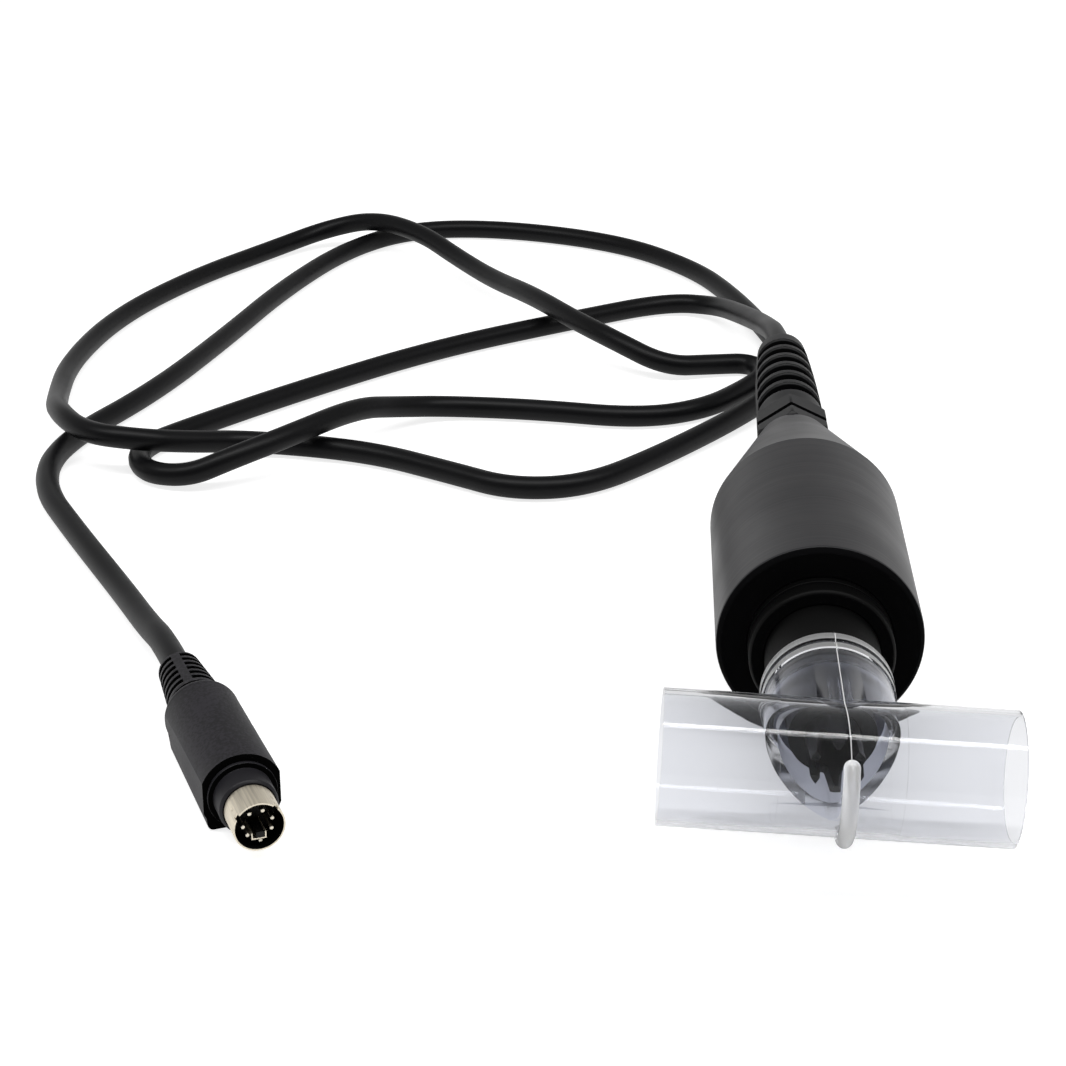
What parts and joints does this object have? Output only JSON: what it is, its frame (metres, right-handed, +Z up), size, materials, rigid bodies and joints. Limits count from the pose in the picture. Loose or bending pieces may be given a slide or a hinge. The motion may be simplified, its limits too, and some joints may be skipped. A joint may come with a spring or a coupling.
{
  "type": "oxygen sensor",
  "caption": "Round-barrelled gas sensor with a clear push-on tee, a cone back, a slotted strain relief and a long loose cord with a round multi-pin plug.",
  "frame": {"origin": "On the surface that the barrel lies on, under the middle of the sensor's length with the tee on, on the barrel's axis as seen from above.", "axes": "+Y along the barrel's axis from the tee towards the cable gland, +Z up, +X to the right as seen from the tee, near enough along the tee's run."},
  "size_m": [0.2251, 0.3938, 0.04],
  "materials": {
    "barrel_plastic": "satin turned",
    "ring_plastic": "satin",
    "nose_plastic": "satin",
    "diverter_plastic": "satin",
    "cell_can": "matte",
    "seal_rubber": "matte",
    "board": "satin",
    "resistor_body": "satin",
    "bead_resin": "gloss",
    "connector_plastic": "satin",
    "wire_insulation": "satin",
    "gland_nylon": "satin moulded",
    "clear_plastic": "clear gloss",
    "cord_sheath": "satin",
    "grip_plastic": "satin moulded",
    "collar_plastic": "satin",
    "plated_shell": "nickel plated",
    "insert_plastic": "satin",
    "plated_pins": "nickel plated"
  },
  "bodies": {
    "sensor": {"housing": "barrel_plastic", "retaining_ring": "ring_plastic", "nose_seal": "seal_rubber", "sensor_cell": "cell_can", "cell_cushion": "seal_rubber", "contact_board": "board", "load_resistor": "resistor_body", "thermistor": "bead_resin", "lead_connector": "connector_plastic", "lead_wires": "wire_insulation", "inner_cable": "cord_sheath", "gland_body": "gland_nylon", "gland_o_ring": "seal_rubber", "gland_insert": "seal_rubber", "gland_nut": "gland_nylon", "cord": "cord_sheath", "plug_grip": "grip_plastic", "plug_collar": "collar_plastic", "plug_shell": "plated_shell", "plug_insert": "insert_plastic", "plug_pins": "plated_pins", "key_guard": "plated_shell"},
    "nose": {"nose_sleeve": "nose_plastic", "flow_diverter": "diverter_plastic"},
    "tee": {"tee": "clear_plastic"}
  },
  "joints": [
    {"name": "tee_swivel", "type": "hinge", "parent": "sensor", "child": "nose", "pos_m": [0, -0.0496, 0.02], "axis": [0, 1, 0], "continuous": true},
    {"name": "tee_pull", "type": "slide", "parent": "nose", "child": "tee", "axis": [0, -1, 0], "range_m": [0, 0.036]}
  ]
}
